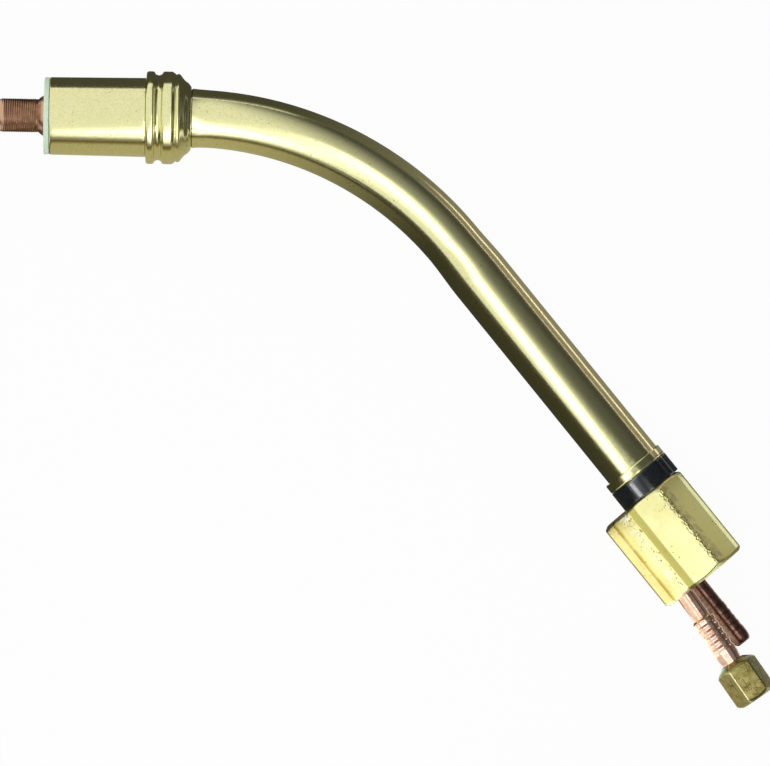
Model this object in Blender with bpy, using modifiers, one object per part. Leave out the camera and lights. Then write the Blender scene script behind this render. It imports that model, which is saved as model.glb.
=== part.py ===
"""Bent neck of a water-cooled MIG welding torch, in metres, +Z up.

The neck lies flat: its bend is in a horizontal plane, its front points along -X, and it lies on the
lower flat of its connector block. The origin is the middle of that flat.

From the middle outwards it holds three coaxial copper tubes (wire conduit, water divider, live core), an
insulating sleeve, and an earthed brass jacket. Water runs forward between conduit and divider, turns
round behind the tip adapter, and comes back between divider and core. The eccentric block joins these
passages to the two hose nipples.

A station is a distance along the neck. On front pieces it counts from the start of the bend, and is
negative towards the tip. On rear pieces it counts from the end of the bend. On a nipple it counts from
the block.
"""

import math

import bmesh
import bpy
from mathutils import Matrix, Vector

# Route of the neck
BEND_DEGREES = 50.0
BEND_RADIUS = 0.110
TAIL_RUN = 0.088

# Play between pieces that only seat in each other, and between pieces that are brazed together
CLEARANCE = 0.0003
BRAZE_GAP = 0.00015

# Coaxial tubes, from the middle outwards
WIRE_BORE = 0.0054
CONDUIT_WALL = 0.0008
WATER_GAP = 0.0009
DIVIDER_WALL = 0.00055
CORE_WALL = 0.0008
SLEEVE_WALL = 0.0008
JACKET_WALL = 0.0010
NECKING = 0.00045
NECKING_RUN = 0.003

# Tip adapter, the copper stub at the front
STUB_DIAMETER = 0.01046
STUB_LENGTH = 0.01225
STUB_LEAD = 0.0020
STUB_LEAD_DEPTH = 0.0008
CONE_LENGTH = 0.00175
CONE_DIAMETER = 0.0128
TIP_SOCKET_DIAMETER = 0.0064
TIP_SOCKET_DEPTH = 0.0110
ADAPTER_TAIL = 0.0080
CONDUIT_SEAT = 0.0040
WATER_TURN = 0.0025

# Front insulator and nozzle seat
FLANGE_LENGTH = 0.0017
FLANGE_SETBACK = 0.0002
INSULATOR_WEB = 0.0030
INSULATOR_SPIGOT = 0.0120
INSULATOR_WALL = 0.00375
SEAT_LENGTH = 0.0303
SEAT_WALL = 0.0011
SEAT_TAPER = 0.00035
SEAT_SPIGOT_WALL = 0.0009
SEAT_SPIGOT = 0.0047

# Ribbed collar, front to rear
RIB_HEIGHT = 0.0020
RIB_EDGE = 0.0005
FRONT_RIB_LENGTH = 0.0028
GROOVE_LENGTH = 0.0023
GROOVE_DEPTH = 0.00095
REAR_RIB_LENGTH = 0.0031
STEP_LENGTH = 0.0019
STEP_DEPTH = 0.00085
COLLAR_TAIL = 0.0042
COLLAR_LIP = 0.00055
JACKET_SEAT = 0.0070
SLEEVE_LEAD = 0.0020

# Rings behind the jacket
FERRULE_LENGTH = 0.0031
FERRULE_WALL = 0.0010
RING_EDGE = 0.0003
REAR_RING_LENGTH = 0.0064
REAR_SPIGOT = 0.0080
SEAL_SECTION = 0.0012
FRONT_SEAL_SETBACK = 0.0050
REAR_SEAL_SETBACK = 0.0030

# Connector block
BLOCK_FLATS = 0.0300
BLOCK_CORNER = 0.0016
BLOCK_CHAMFER_DEGREES = 30.0
BLOCK_REAR_DROP = 0.0010
BLOCK_OFFSET = 0.0048
CORE_SEAT = 0.0070
RETURN_CHAMBER = 0.0038
DIVIDER_SEAT = 0.0030
SUPPLY_CHAMBER = 0.0040
CONDUIT_BLOCK_SEAT = 0.0025
SOCKET_WEB = 0.0015
SOCKET_DEPTH = 0.0100
SOCKET_DIAMETER = 0.0100
PASSAGE_DIAMETER = 0.0028
GUIDE_LENGTH = 0.0030
GUIDE_MOUTH = 0.0080

# Hose nipples: where each leaves the block, across (from the block's middle, + away from the bend's
# inside) and up, how far it leans towards the bend's inside, and how far its rings stand out of its root
POWER_ACROSS = -0.0080
POWER_UP = 0.0050
POWER_LEAN_DEGREES = 4.2
POWER_RINGS = 5
POWER_CREST = 0.0009
SUPPLY_ACROSS = -0.0030
SUPPLY_UP = -0.0055
SUPPLY_RINGS = 4
SUPPLY_CREST = 0.00015
NIPPLE_DIAMETER = 0.0058
NIPPLE_BORE = 0.0032
NIPPLE_SEAT = 0.0060
NIPPLE_ROOT = 0.0092
SHOULDER_LENGTH = 0.0021
RING_PITCH = 0.0021
RING_DEPTH = 0.0004
NOSE_LENGTH = 0.0042
NOSE_ROUNDING = 0.0016
POWER_NOSE_DIAMETER = 0.0065
SUPPLY_NOSE_DIAMETER = 0.0048

# Union nut and the cone seat that holds it on the power nipple
NUT_FLATS = 0.0122
NUT_CORNER = 0.0005
NUT_LENGTH = 0.0139
NUT_TURN_DEGREES = 23.6
NUT_CHAMFER_DEGREES = 32.0
NUT_REAR_DROP = 0.0005
NUT_FRONT_WALL = 0.0033
NUT_BORE = 0.0092
NUT_PLAY = 0.0004
CONE_SEAT_FLANGE = 0.0020
CONE_SEAT_NOSE = 0.0034
CONE_SEAT_END = 0.0062
SEAT_TAIL_DIAMETER = 0.0048

# Facets
BEND_STEPS = 10
TURNED_STEPS = 36
SMALL_STEPS = 16
JACKET_SIDES = 28
INNER_SIDES = 14
SEAL_SIDES = 8
OVERRUN = 0.0010

COPPER = ((0.58, 0.27, 0.19), 0.32, 1.0)
TUBE_COPPER = ((0.62, 0.31, 0.22), 0.35, 1.0)
POLISHED_BRASS = ((0.80, 0.72, 0.36), 0.16, 1.0)
BLOCK_BRASS = ((0.84, 0.78, 0.42), 0.24, 1.0)
NUT_BRASS = ((0.52, 0.49, 0.30), 0.36, 1.0)
GLASS_EPOXY = ((0.63, 0.83, 0.69), 0.55, 0.0)
BLACK_PLASTIC = ((0.012, 0.014, 0.016), 0.22, 0.0)
SLEEVE_WHITE = ((0.85, 0.85, 0.80), 0.50, 0.0)
SEAL_RUBBER = ((0.02, 0.02, 0.02), 0.60, 0.0)

# Radii that follow from the tubes' walls
CONDUIT_IN = WIRE_BORE / 2
CONDUIT_OUT = CONDUIT_IN + CONDUIT_WALL
DIVIDER_IN = CONDUIT_OUT + WATER_GAP
DIVIDER_OUT = DIVIDER_IN + DIVIDER_WALL
CORE_IN = DIVIDER_OUT + WATER_GAP
CORE_OUT = CORE_IN + CORE_WALL
SLEEVE_IN = CORE_OUT + CLEARANCE
SLEEVE_OUT = SLEEVE_IN + SLEEVE_WALL
JACKET_IN = SLEEVE_OUT + CLEARANCE
JACKET_OUT = JACKET_IN + JACKET_WALL
TAIL_OUT = JACKET_OUT + NECKING
RING_OUT = TAIL_OUT + BRAZE_GAP + FERRULE_WALL
SPIGOT_OUT = SLEEVE_IN + INSULATOR_WALL
SEAT_IN = SPIGOT_OUT + CLEARANCE
SEAT_FRONT = SEAT_IN + SEAT_WALL
SEAT_REAR = SEAT_FRONT + SEAT_TAPER
RIB_OUT = SEAT_REAR + RIB_HEIGHT
SEAL_GROOVE_OUT = SLEEVE_IN + SEAL_SECTION + CLEARANCE

# Stations of the front pieces
COLLAR_FRONT = -(FRONT_RIB_LENGTH + GROOVE_LENGTH + REAR_RIB_LENGTH + STEP_LENGTH + COLLAR_TAIL)
SEAT_END = COLLAR_FRONT - CLEARANCE
SEAT_START = SEAT_END - SEAT_LENGTH
FLANGE_REAR = SEAT_START - CLEARANCE
FLANGE_FRONT = FLANGE_REAR - FLANGE_LENGTH
CORE_START = FLANGE_FRONT + INSULATOR_WEB + CLEARANCE
CONE_END = FLANGE_FRONT - CLEARANCE
STUB_END = CONE_END - CONE_LENGTH
STUB_START = STUB_END - STUB_LENGTH
ADAPTER_END = CORE_START + ADAPTER_TAIL

# Stations of the rear pieces
JACKET_END = TAIL_RUN + FERRULE_LENGTH
RING_START = JACKET_END + CLEARANCE
RING_END = RING_START + REAR_RING_LENGTH
SPIGOT_START = RING_START - REAR_SPIGOT
BLOCK_START = RING_END + CLEARANCE
BLOCK_BORES = (
    CORE_SEAT,
    RETURN_CHAMBER,
    DIVIDER_SEAT,
    SUPPLY_CHAMBER,
    CONDUIT_BLOCK_SEAT,
    SOCKET_WEB,
    SOCKET_DEPTH,
)
BLOCK_LENGTH = sum(BLOCK_BORES)
BLOCK_END = BLOCK_START + BLOCK_LENGTH

# Stations of the nipples' rings and noses, the nut and the cone seat
RINGS_START = NIPPLE_ROOT + SHOULDER_LENGTH
POWER_NOSE_START = RINGS_START + POWER_RINGS * RING_PITCH
SUPPLY_NOSE_START = RINGS_START + SUPPLY_RINGS * RING_PITCH
SUPPLY_END = SUPPLY_NOSE_START + NOSE_LENGTH
NUT_START = POWER_NOSE_START + NOSE_LENGTH
CONE_SEAT_START = NUT_START + NUT_FRONT_WALL + CLEARANCE
CONE_SEAT_TIP = CONE_SEAT_START + CONE_SEAT_FLANGE + CONE_SEAT_NOSE

BEND = math.radians(BEND_DEGREES)
BEND_LENGTH = BEND_RADIUS * BEND
BEND_END = Vector((BEND_RADIUS * math.sin(BEND), -BEND_RADIUS * (1 - math.cos(BEND)), 0))

# Frames whose Z runs rearwards, X down and Y away from the bend's inside
FRONT_FRAME = Matrix.Rotation(math.pi / 2, 4, "Y")
REAR_FRAME = Matrix.Translation(BEND_END) @ Matrix.Rotation(-BEND, 4, "Z") @ FRONT_FRAME


def nipple_frame(across, up, lean_degrees):
    """The frame of a nipple: its origin is where the nipple leaves the block's rear face."""
    root = Matrix.Translation((-up, across - BLOCK_OFFSET, BLOCK_END))
    return REAR_FRAME @ root @ Matrix.Rotation(math.radians(lean_degrees), 4, "X")


POWER_FRAME = nipple_frame(POWER_ACROSS, POWER_UP, POWER_LEAN_DEGREES)
SUPPLY_FRAME = nipple_frame(SUPPLY_ACROSS, SUPPLY_UP, 0)


def clear_scene():
    for old in list(bpy.data.objects):
        bpy.data.objects.remove(old)


def add_collection(name, hidden=False):
    collection = bpy.data.collections.new(name)
    collection.hide_render = hidden
    bpy.context.scene.collection.children.link(collection)
    return collection


def add_root():
    """The empty that carries the neck, and puts the middle of the block's lower flat at the origin."""
    flat_middle = REAR_FRAME @ Vector((BLOCK_FLATS / 2, -BLOCK_OFFSET, (BLOCK_START + BLOCK_END) / 2))
    root = bpy.data.objects.new("neck_root", None)
    root.location = -flat_middle
    bpy.context.scene.collection.objects.link(root)
    return root


def add_object(name, mesh, frame, finish=None):
    """Puts a mesh in the scene: with a finish it is a piece of the neck, and without one it is a cutter."""
    piece = bpy.data.objects.new(name, mesh)
    piece.parent = root
    piece.matrix_local = frame
    if finish:
        parts.objects.link(piece)
        mesh.materials.append(make_material(name, *finish))
    else:
        cutters.objects.link(piece)
        piece.hide_render = True
        piece.display_type = "WIRE"
    return piece


def make_material(name, colour, roughness, metallic):
    material = bpy.data.materials.new(name)
    material.use_nodes = True
    shader = material.node_tree.nodes["Principled BSDF"]
    shader.inputs["Base Color"].default_value = (*colour, 1)
    shader.inputs["Roughness"].default_value = roughness
    shader.inputs["Metallic"].default_value = metallic
    return material


def turned(name, outer, bore, frame, finish=None, steps=TURNED_STEPS):
    """A turned piece, from outlines of (station, radius), front to rear. A solid has an empty bore."""
    if not bore:
        outer = [(outer[0][0], 0), *outer, (outer[-1][0], 0)]
    outline = [*reversed(outer), *bore]
    mesh = bpy.data.meshes.new(name)
    points = [(radius, 0, station) for station, radius in outline]
    edges = [(i, i + 1) for i in range(len(points) - 1)]
    if bore:
        edges.append((len(points) - 1, 0))
    mesh.from_pydata(points, edges, [])
    piece = add_object(name, mesh, frame, finish)
    screw = piece.modifiers.new("turn", "SCREW")
    screw.steps = steps
    screw.render_steps = steps
    screw.use_merge_vertices = True
    screw.merge_threshold = 0.00001
    return piece


def cut(piece, cutter, operation="DIFFERENCE"):
    boolean = piece.modifiers.new(cutter.name, "BOOLEAN")
    boolean.operation = operation
    boolean.object = cutter


def smooth(piece, degrees=35):
    by_angle = math.radians(degrees)
    piece.data.shade_smooth()
    piece.data.set_sharp_from_angle(angle=by_angle)


def neck_point(station):
    """The point of the neck's centre line at a distance from the start of the bend."""
    if station <= 0:
        return Vector((station, 0, 0))
    if station <= BEND_LENGTH:
        turn = station / BEND_RADIUS
        return Vector((BEND_RADIUS * math.sin(turn), -BEND_RADIUS * (1 - math.cos(turn)), 0))
    return BEND_END + (station - BEND_LENGTH) * Vector((math.cos(BEND), -math.sin(BEND), 0))


def bent_rod(name, start, end, radius, swell, sides, finish=None):
    """A round rod along the neck, from a front station to a rear one, that swells on its straight tail."""
    bend = [BEND_LENGTH * i / BEND_STEPS for i in range(BEND_STEPS + 1)]
    stations = [start, *bend, BEND_LENGTH + NECKING_RUN, BEND_LENGTH + end]
    curve = bpy.data.curves.new(name, "CURVE")
    curve.dimensions = "3D"
    curve.bevel_depth = radius
    curve.bevel_resolution = (sides - 4) // 2
    curve.use_fill_caps = True
    spline = curve.splines.new("POLY")
    spline.points.add(len(stations) - 1)
    for point, station in zip(spline.points, stations):
        point.co = (*neck_point(station), 1)
        point.radius = 1 + (swell / radius if station > BEND_LENGTH else 0)
    guide = bpy.data.objects.new(name + "_route", curve)
    bpy.context.scene.collection.objects.link(guide)
    solid = bpy.data.meshes.new_from_object(guide.evaluated_get(bpy.context.evaluated_depsgraph_get()))
    bpy.data.objects.remove(guide)
    solid.name = name
    weld(solid)
    return add_object(name, solid, Matrix.Identity(4), finish)


def weld(mesh):
    shape = bmesh.new()
    shape.from_mesh(mesh)
    bmesh.ops.remove_doubles(shape, verts=shape.verts, dist=0.00001)
    bmesh.ops.recalc_face_normals(shape, faces=shape.faces)
    shape.to_mesh(mesh)
    shape.free()


def bent_tube(name, start, end, outer, inner, finish, sides=INNER_SIDES, swell=0):
    tube = bent_rod(name, start, end, outer, swell, sides, finish)
    bore = bent_rod(name + "_bore", start - OVERRUN, end + OVERRUN, inner, swell, sides)
    cut(tube, bore)
    smooth(tube)
    return tube


def prism(name, sides, flats, corner, start, end, frame, finish, turn_degrees=0):
    """A bar of regular section, measured across its flats, one of which faces up when it isn't turned."""
    shape = bmesh.new()
    half_step = math.pi / sides
    turn = Matrix.Rotation(half_step + math.radians(turn_degrees), 4, "Z")
    bmesh.ops.create_cone(
        shape,
        cap_ends=True,
        segments=sides,
        radius1=flats / 2 / math.cos(half_step),
        radius2=flats / 2 / math.cos(half_step),
        depth=end - start,
        matrix=Matrix.Translation((0, 0, (start + end) / 2)) @ turn,
    )
    long_edges = [e for e in shape.edges if abs(e.verts[0].co.z - e.verts[1].co.z) > (end - start) / 2]
    bmesh.ops.bevel(shape, geom=long_edges, offset=corner, segments=3, profile=0.5, affect="EDGES")
    mesh = bpy.data.meshes.new(name)
    shape.to_mesh(mesh)
    shape.free()
    return add_object(name, mesh, frame, finish)


def drill(name, start, target, diameter):
    """A cutter for a straight passage between two points of the rear frame."""
    along = target - start
    shape = bmesh.new()
    bmesh.ops.create_cone(
        shape,
        cap_ends=True,
        segments=SMALL_STEPS,
        radius1=diameter / 2,
        radius2=diameter / 2,
        depth=along.length,
    )
    mesh = bpy.data.meshes.new(name)
    shape.to_mesh(mesh)
    shape.free()
    aim = Matrix.Translation((start + target) / 2) @ along.to_track_quat("Z", "Y").to_matrix().to_4x4()
    return add_object(name, mesh, REAR_FRAME @ aim)


def make_tip_adapter():
    stub = STUB_DIAMETER / 2
    tail = CORE_IN - CLEARANCE
    socket = TIP_SOCKET_DIAMETER / 2
    socket_end = STUB_START + TIP_SOCKET_DEPTH
    conduit_seat = ADAPTER_END - CONDUIT_SEAT
    outer = [
        (STUB_START, stub - STUB_LEAD_DEPTH),
        (STUB_START + STUB_LEAD, stub),
        (STUB_END, stub),
        (CONE_END, CONE_DIAMETER / 2),
        (CONE_END, tail),
        (ADAPTER_END, tail),
    ]
    bore = [
        (STUB_START, socket),
        (socket_end, socket),
        (socket_end, CONDUIT_IN),
        (conduit_seat, CONDUIT_IN),
        (conduit_seat, CONDUIT_OUT + BRAZE_GAP),
        (ADAPTER_END, CONDUIT_OUT + BRAZE_GAP),
    ]
    smooth(turned("tip_adapter", outer, bore, FRONT_FRAME, COPPER))


def seal_groove(middle):
    """The groove that a seal lies in, as part of a bore outline."""
    half = SEAL_SECTION / 2 + CLEARANCE
    return [
        (middle - half, SLEEVE_IN),
        (middle - half, SEAL_GROOVE_OUT),
        (middle + half, SEAL_GROOVE_OUT),
        (middle + half, SLEEVE_IN),
    ]


def make_front_insulator():
    spigot_end = FLANGE_REAR + INSULATOR_SPIGOT
    web_end = FLANGE_FRONT + INSULATOR_WEB
    seal_at = web_end + FRONT_SEAL_SETBACK
    flange = SEAT_FRONT - FLANGE_SETBACK
    outer = [
        (FLANGE_FRONT, flange - RING_EDGE),
        (FLANGE_FRONT + RING_EDGE, flange),
        (FLANGE_REAR, flange),
        (FLANGE_REAR, SPIGOT_OUT),
        (spigot_end, SPIGOT_OUT),
    ]
    bore = [
        (FLANGE_FRONT, CORE_IN),
        (web_end, CORE_IN),
        (web_end, SLEEVE_IN),
        *seal_groove(seal_at),
        (spigot_end, SLEEVE_IN),
    ]
    smooth(turned("front_insulator", outer, bore, FRONT_FRAME, GLASS_EPOXY))
    make_seal("front_seal", seal_at, FRONT_FRAME)


def make_seal(name, middle, frame):
    """A rubber ring round the core tube, in its insulator's groove."""
    radius = SEAL_SECTION / 2
    section = [2 * math.pi * i / SEAL_SIDES for i in range(SEAL_SIDES)]
    outline = [(middle + radius * math.cos(a), SLEEVE_IN + radius * (1 + math.sin(a))) for a in section]
    half = SEAL_SIDES // 2 + 1
    smooth(turned(name, outline[:half][::-1], outline[half:], frame, SEAL_RUBBER, SMALL_STEPS), 80)


def make_nozzle_seat():
    spigot = SEAT_IN + SEAT_SPIGOT_WALL
    spigot_end = SEAT_END + SEAT_SPIGOT
    outer = [
        (SEAT_START, SEAT_FRONT - RING_EDGE),
        (SEAT_START + RING_EDGE, SEAT_FRONT),
        (SEAT_END, SEAT_REAR),
        (SEAT_END, spigot),
        (spigot_end, spigot),
    ]
    bore = [(SEAT_START, SEAT_IN), (spigot_end, SEAT_IN)]
    smooth(turned("nozzle_seat", outer, bore, FRONT_FRAME, POLISHED_BRASS))


def rib(start, end, foot_front, foot_rear):
    """A rib's outline, with its four edges broken."""
    return [
        (start, foot_front),
        (start + RIB_EDGE * 0.3, RIB_OUT - RIB_EDGE * 0.7),
        (start + RIB_EDGE * 1.2, RIB_OUT),
        (end - RIB_EDGE * 1.2, RIB_OUT),
        (end - RIB_EDGE * 0.3, RIB_OUT - RIB_EDGE * 0.7),
        (end, foot_rear),
    ]


def make_rib_collar():
    groove = RIB_OUT - GROOVE_DEPTH
    step = RIB_OUT - STEP_DEPTH
    lip = JACKET_OUT + BRAZE_GAP + COLLAR_LIP
    shoulder = (step + lip) / 2
    groove_start = COLLAR_FRONT + FRONT_RIB_LENGTH
    groove_end = groove_start + GROOVE_LENGTH
    rib_end = groove_end + REAR_RIB_LENGTH
    tail_start = rib_end + STEP_LENGTH
    outer = [
        *rib(COLLAR_FRONT, groove_start, RIB_OUT - RIB_EDGE * 1.5, groove),
        *rib(groove_end, rib_end, groove, step),
        (tail_start, step - RIB_EDGE / 2),
        (tail_start + COLLAR_TAIL * 0.34, shoulder + RIB_EDGE / 2),
        (tail_start + COLLAR_TAIL * 0.60, shoulder - RIB_EDGE / 2),
        (tail_start + COLLAR_TAIL * 0.90, lip + RIB_EDGE / 4),
        (0, lip),
    ]
    seat_hole = SEAT_IN + SEAT_SPIGOT_WALL + BRAZE_GAP
    seat_hole_end = SEAT_END + SEAT_SPIGOT + CLEARANCE
    mouth = SEAT_REAR + CLEARANCE
    bore = [
        (COLLAR_FRONT, mouth),
        (COLLAR_FRONT + mouth - seat_hole, seat_hole),
        (seat_hole_end, seat_hole),
        (seat_hole_end, SLEEVE_OUT + CLEARANCE),
        (-JACKET_SEAT, SLEEVE_OUT + CLEARANCE),
        (-JACKET_SEAT, JACKET_OUT + BRAZE_GAP),
        (0, JACKET_OUT + BRAZE_GAP),
    ]
    smooth(turned("rib_collar", outer, bore, FRONT_FRAME, POLISHED_BRASS))


def make_bent_tubes():
    jacket_start = -JACKET_SEAT + CLEARANCE
    sleeve_start = SEAT_END + SEAT_SPIGOT - SLEEVE_LEAD
    divider_start = ADAPTER_END + WATER_TURN
    conduit_start = ADAPTER_END - CONDUIT_SEAT + CLEARANCE
    core_end = BLOCK_START + CORE_SEAT - CLEARANCE
    divider_end = core_end + RETURN_CHAMBER + DIVIDER_SEAT
    conduit_end = divider_end + SUPPLY_CHAMBER + CONDUIT_BLOCK_SEAT
    sleeve_end = SPIGOT_START - CLEARANCE
    bent_tube(
        "jacket_tube",
        jacket_start,
        JACKET_END,
        JACKET_OUT,
        JACKET_IN,
        POLISHED_BRASS,
        sides=JACKET_SIDES,
        swell=NECKING,
    )
    bent_tube("insulating_sleeve", sleeve_start, sleeve_end, SLEEVE_OUT, SLEEVE_IN, SLEEVE_WHITE)
    bent_tube("core_tube", CORE_START, core_end, CORE_OUT, CORE_IN, TUBE_COPPER)
    bent_tube("divider_tube", divider_start, divider_end, DIVIDER_OUT, DIVIDER_IN, TUBE_COPPER)
    bent_tube("conduit_tube", conduit_start, conduit_end, CONDUIT_OUT, CONDUIT_IN, TUBE_COPPER)


def make_tail_ferrule():
    hole = TAIL_OUT + BRAZE_GAP
    outer = [
        (TAIL_RUN, RING_OUT - RING_EDGE),
        (TAIL_RUN + RING_EDGE, RING_OUT),
        (JACKET_END - RING_EDGE, RING_OUT),
        (JACKET_END, RING_OUT - RING_EDGE),
    ]
    bore = [(TAIL_RUN, hole), (JACKET_END, hole)]
    smooth(turned("tail_ferrule", outer, bore, REAR_FRAME, POLISHED_BRASS))


def make_rear_insulator():
    seal_at = RING_START + REAR_SEAL_SETBACK
    spigot = JACKET_IN + NECKING - CLEARANCE
    outer = [
        (SPIGOT_START, spigot),
        (RING_START, spigot),
        (RING_START, RING_OUT - RING_EDGE),
        (RING_START + RING_EDGE, RING_OUT),
        (RING_END, RING_OUT),
    ]
    bore = [(SPIGOT_START, SLEEVE_IN), *seal_groove(seal_at), (RING_END, SLEEVE_IN)]
    smooth(turned("rear_insulator", outer, bore, REAR_FRAME, BLACK_PLASTIC))
    make_seal("rear_seal", seal_at, REAR_FRAME)


def chamfered_bar(name, start, end, flats, sides, front_drop, rear_drop, chamfer_degrees, frame):
    """A cutter that leaves a lathe's chamfers on a bar. Each drop is the chamfer's start inside the flats."""
    slope = math.tan(math.radians(chamfer_degrees))
    clear = flats / 2 / math.cos(math.pi / sides) + OVERRUN
    front = flats / 2 - front_drop
    rear = flats / 2 - rear_drop
    front_end = start + (clear - front) * slope
    rear_start = end - (clear - rear) * slope
    return turned(name, [(start, front), (front_end, clear), (rear_start, clear), (end, rear)], [], frame)


def make_connector_block():
    middle = REAR_FRAME @ Matrix.Translation((0, -BLOCK_OFFSET, 0))
    block = prism(
        "connector_block",
        8,
        BLOCK_FLATS,
        BLOCK_CORNER,
        BLOCK_START - OVERRUN,
        BLOCK_END + OVERRUN,
        middle,
        BLOCK_BRASS,
    )
    chamfers = chamfered_bar(
        "block_chamfers",
        BLOCK_START,
        BLOCK_END,
        BLOCK_FLATS,
        8,
        0,
        BLOCK_REAR_DROP,
        BLOCK_CHAMFER_DEGREES,
        middle,
    )
    cut(block, chamfers, "INTERSECT")
    radii = (
        CORE_OUT + BRAZE_GAP,
        CORE_IN,
        DIVIDER_OUT + BRAZE_GAP,
        DIVIDER_IN,
        CONDUIT_OUT + BRAZE_GAP,
        CONDUIT_IN,
        SOCKET_DIAMETER / 2,
    )
    outline = []
    station = BLOCK_START
    for length, radius in zip(BLOCK_BORES, radii):
        outline += [(station, radius), (station + length, radius)]
        station += length
    outline[0] = (BLOCK_START - OVERRUN, radii[0])
    outline[-1] = (BLOCK_END + OVERRUN, radii[-1])
    cut(block, turned("block_bore", outline, [], REAR_FRAME))
    return_middle = BLOCK_START + CORE_SEAT + RETURN_CHAMBER / 2
    supply_middle = BLOCK_START + sum(BLOCK_BORES[:3]) + SUPPLY_CHAMBER / 2
    for name, frame, across, up, chamber, chamber_radius in (
        ("power", POWER_FRAME, POWER_ACROSS, POWER_UP, return_middle, CORE_IN),
        ("supply", SUPPLY_FRAME, SUPPLY_ACROSS, SUPPLY_UP, supply_middle, DIVIDER_IN),
    ):
        seat = NIPPLE_DIAMETER / 2 + BRAZE_GAP
        seat_outline = [(-NIPPLE_SEAT, seat), (OVERRUN, seat)]
        cut(block, turned(name + "_seat", seat_outline, [], frame, steps=SMALL_STEPS))
        aside = Vector((-up, across - BLOCK_OFFSET, 0))
        start = REAR_FRAME.inverted() @ frame @ Vector((0, 0, OVERRUN - NIPPLE_SEAT))
        target = aside.normalized() * chamber_radius + Vector((0, 0, chamber))
        cut(block, drill(name + "_passage", start, target, PASSAGE_DIAMETER))
    smooth(block)


def make_liner_guide():
    start = BLOCK_END - SOCKET_DEPTH + CLEARANCE
    end = start + GUIDE_LENGTH
    body = SOCKET_DIAMETER / 2 - CLEARANCE
    outer = [(start, body), (end, body)]
    bore = [(start, CONDUIT_IN), (start + GUIDE_LENGTH / 4, CONDUIT_IN), (end, GUIDE_MOUTH / 2)]
    smooth(turned("liner_guide", outer, bore, REAR_FRAME, BLOCK_BRASS, SMALL_STEPS))


def hose_grip(crest_rise, rings, nose_diameter):
    """The outside of a nipple, from its seat in the block over its rings to the end of its nose."""
    body = NIPPLE_DIAMETER / 2
    crest = body + crest_rise
    groove = crest - RING_DEPTH
    outline = [(CLEARANCE - NIPPLE_SEAT, body), (NIPPLE_ROOT, body), (NIPPLE_ROOT + RING_DEPTH, crest)]
    for ring in range(rings):
        foot = RINGS_START + ring * RING_PITCH
        outline += [
            (foot, crest),
            (foot + RING_PITCH * 0.35, groove),
            (foot + RING_PITCH * 0.55, groove),
            (foot + RING_PITCH * 0.75, crest),
        ]
    nose_start = RINGS_START + rings * RING_PITCH
    return [*outline, (nose_start, crest), (nose_start + NOSE_LENGTH, nose_diameter / 2)]


def make_nipples():
    bore_radius = NIPPLE_BORE / 2
    tail = SEAT_TAIL_DIAMETER / 2
    power = [
        *hose_grip(POWER_CREST, POWER_RINGS, POWER_NOSE_DIAMETER),
        (CONE_SEAT_START - CLEARANCE, POWER_NOSE_DIAMETER / 2),
        (CONE_SEAT_START - CLEARANCE, tail),
        (CONE_SEAT_TIP, tail),
    ]
    bore = [(power[0][0], bore_radius), (CONE_SEAT_TIP, bore_radius)]
    smooth(turned("power_nipple", power, bore, POWER_FRAME, COPPER, SMALL_STEPS))

    nose = SUPPLY_NOSE_DIAMETER / 2
    supply = [
        *hose_grip(SUPPLY_CREST, SUPPLY_RINGS, SUPPLY_NOSE_DIAMETER)[:-1],
        (SUPPLY_END - NOSE_ROUNDING, nose),
        (SUPPLY_END - NOSE_ROUNDING / 3, (nose * 2 + bore_radius) / 3),
        (SUPPLY_END, (nose + bore_radius * 2) / 3),
    ]
    bore = [(supply[0][0], bore_radius), (SUPPLY_END, bore_radius)]
    smooth(turned("supply_nipple", supply, bore, SUPPLY_FRAME, COPPER, SMALL_STEPS))


def make_cone_seat():
    flange = NUT_BORE / 2 - CLEARANCE
    hole = SEAT_TAIL_DIAMETER / 2 + BRAZE_GAP
    flange_end = CONE_SEAT_START + CONE_SEAT_FLANGE
    outer = [(CONE_SEAT_START, flange), (flange_end, flange), (CONE_SEAT_TIP, CONE_SEAT_END / 2)]
    bore = [(CONE_SEAT_START, hole), (CONE_SEAT_TIP, hole)]
    smooth(turned("cone_seat", outer, bore, POWER_FRAME, NUT_BRASS, SMALL_STEPS))


def make_union_nut():
    end = NUT_START + NUT_LENGTH
    nut = prism(
        "union_nut",
        6,
        NUT_FLATS,
        NUT_CORNER,
        NUT_START - OVERRUN,
        end + OVERRUN,
        POWER_FRAME,
        NUT_BRASS,
        NUT_TURN_DEGREES,
    )
    hole = POWER_NOSE_DIAMETER / 2 + NUT_PLAY
    front_drop = NUT_FLATS / 2 - hole - CLEARANCE
    chamfers = chamfered_bar(
        "nut_chamfers",
        NUT_START,
        end,
        NUT_FLATS,
        6,
        front_drop,
        NUT_REAR_DROP,
        NUT_CHAMFER_DEGREES,
        POWER_FRAME,
    )
    cut(nut, chamfers, "INTERSECT")
    inner_end = NUT_START + NUT_FRONT_WALL
    bore = [
        (NUT_START - OVERRUN, hole),
        (inner_end, hole),
        (inner_end, NUT_BORE / 2),
        (end + OVERRUN, NUT_BORE / 2),
    ]
    cut(nut, turned("nut_bore", bore, [], POWER_FRAME, steps=SMALL_STEPS))
    smooth(nut)


clear_scene()
parts = add_collection("mig_torch_neck")
cutters = add_collection("cutters", hidden=True)
root = add_root()
make_tip_adapter()
make_front_insulator()
make_nozzle_seat()
make_rib_collar()
make_bent_tubes()
make_tail_ferrule()
make_rear_insulator()
make_connector_block()
make_liner_guide()
make_nipples()
make_cone_seat()
make_union_nut()
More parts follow.
